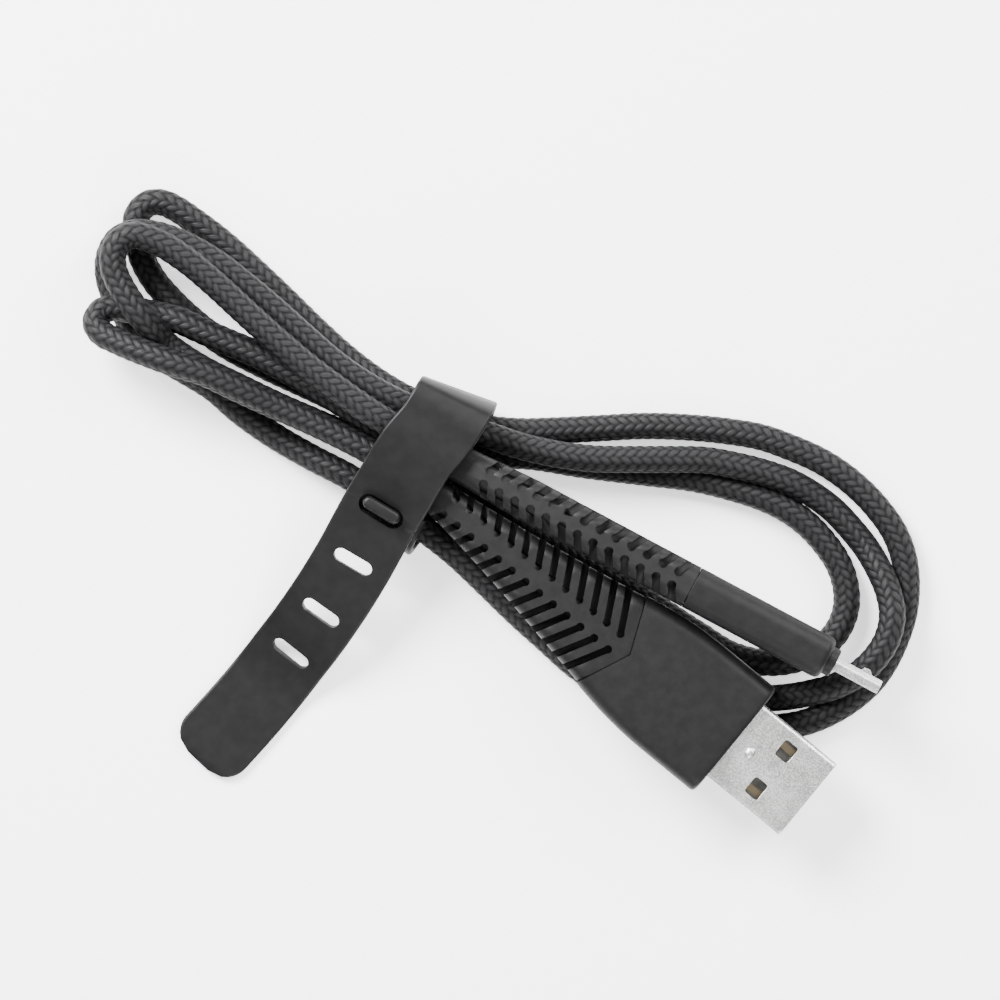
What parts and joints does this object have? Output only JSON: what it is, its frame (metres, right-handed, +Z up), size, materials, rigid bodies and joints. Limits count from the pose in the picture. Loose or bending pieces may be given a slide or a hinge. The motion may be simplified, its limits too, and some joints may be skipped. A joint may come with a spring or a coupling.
{
  "type": "charging cable",
  "caption": "Braided charging cable with a USB-A plug and a micro-USB plug, ribbed strain reliefs, bundled by a slotted silicone tie.",
  "frame": {"origin": "a point on the flat underside of the tie, below the middle of the bundle, at the height of the surface that the cable lies on", "axes": "+X towards the plugs, along the length of the bundle; +Y away from the tie's tail; +Z up, out of the surface"},
  "size_m": [0.109, 0.0842, 0.016],
  "materials": {
    "black_braid": "woven matt",
    "black_tpe": "matt moulded",
    "black_silicone": "satin moulded",
    "nickel": "satin nickel plate",
    "gold_contact": "polished plate",
    "tin_ferrule": "satin",
    "pale_plastic": "matt",
    "black_plastic": "matt",
    "red_wire": "matt",
    "white_wire": "matt",
    "green_wire": "matt",
    "black_wire": "matt"
  },
  "bodies": {
    "bundle": {"cord": "black_braid", "tie_wrap": "black_silicone"},
    "tie_flap": {"tie_flap": "black_silicone"},
    "tie_tail": {"tie_tail": "black_silicone"},
    "usb_a": {"usb_a_shell": "nickel", "usb_a_tongue": "pale_plastic", "usb_a_contact_vbus": "gold_contact", "usb_a_contact_data_minus": "gold_contact", "usb_a_contact_data_plus": "gold_contact", "usb_a_contact_ground": "gold_contact", "usb_a_wire_red": "red_wire", "usb_a_wire_white": "white_wire", "usb_a_wire_green": "green_wire", "usb_a_wire_black": "black_wire", "usb_a_ferrule": "tin_ferrule", "usb_a_cord_end": "black_braid", "usb_a_housing": "black_tpe", "usb_a_relief": "black_tpe"},
    "micro": {"micro_shell": "nickel", "micro_tongue": "black_plastic", "micro_contact_vbus": "gold_contact", "micro_contact_data_minus": "gold_contact", "micro_contact_data_plus": "gold_contact", "micro_contact_id": "gold_contact", "micro_contact_ground": "gold_contact", "micro_wire_red": "red_wire", "micro_wire_white": "white_wire", "micro_wire_green": "green_wire", "micro_wire_black": "black_wire", "micro_ferrule": "tin_ferrule", "micro_cord_end": "black_braid", "micro_housing": "black_tpe", "micro_relief": "black_tpe"},
    "micro_latch_left": {"micro_latch_left": "nickel"},
    "micro_latch_right": {"micro_latch_right": "nickel"}
  },
  "joints": [
    {"name": "usb_a_lift", "type": "hinge", "parent": "bundle", "child": "usb_a", "pos_m": [0.00013, -0.0028, 0.01], "axis": [-0.6334, -0.7738, 0], "range_deg": [0, 8], "stiffness_Nm_per_rad": 0.03},
    {"name": "micro_lift", "type": "hinge", "parent": "bundle", "child": "micro", "pos_m": [0.0022, 0.00174, 0.01129], "axis": [-0.471, -0.8821, 0], "range_deg": [0, 10], "stiffness_Nm_per_rad": 0.02},
    {"name": "micro_latch_left_press", "type": "hinge", "parent": "micro", "child": "micro_latch_left", "pos_m": [0.05251, -0.02424, 0.00867], "axis": [0.0277, -0.0148, -0.9995], "range_deg": [0, 4], "stiffness_Nm_per_rad": 0.01},
    {"name": "micro_latch_right_press", "type": "hinge", "parent": "micro", "child": "micro_latch_right", "pos_m": [0.05239, -0.02417, 0.01287], "axis": [0.0277, -0.0148, -0.9995], "range_deg": [0, 4], "stiffness_Nm_per_rad": 0.01},
    {"name": "tie_flap_open", "type": "hinge", "parent": "bundle", "child": "tie_flap", "pos_m": [0.00253, 0.0078, 0.01338], "axis": [-0.8635, 0.5044, 0], "range_deg": [0, 95]},
    {"name": "tie_tail_lift", "type": "hinge", "parent": "tie_flap", "child": "tie_tail", "pos_m": [-0.00816, -0.00854, 0.00899], "axis": [-0.8808, 0.4728, -0.026], "range_deg": [0, 60]}
  ]
}
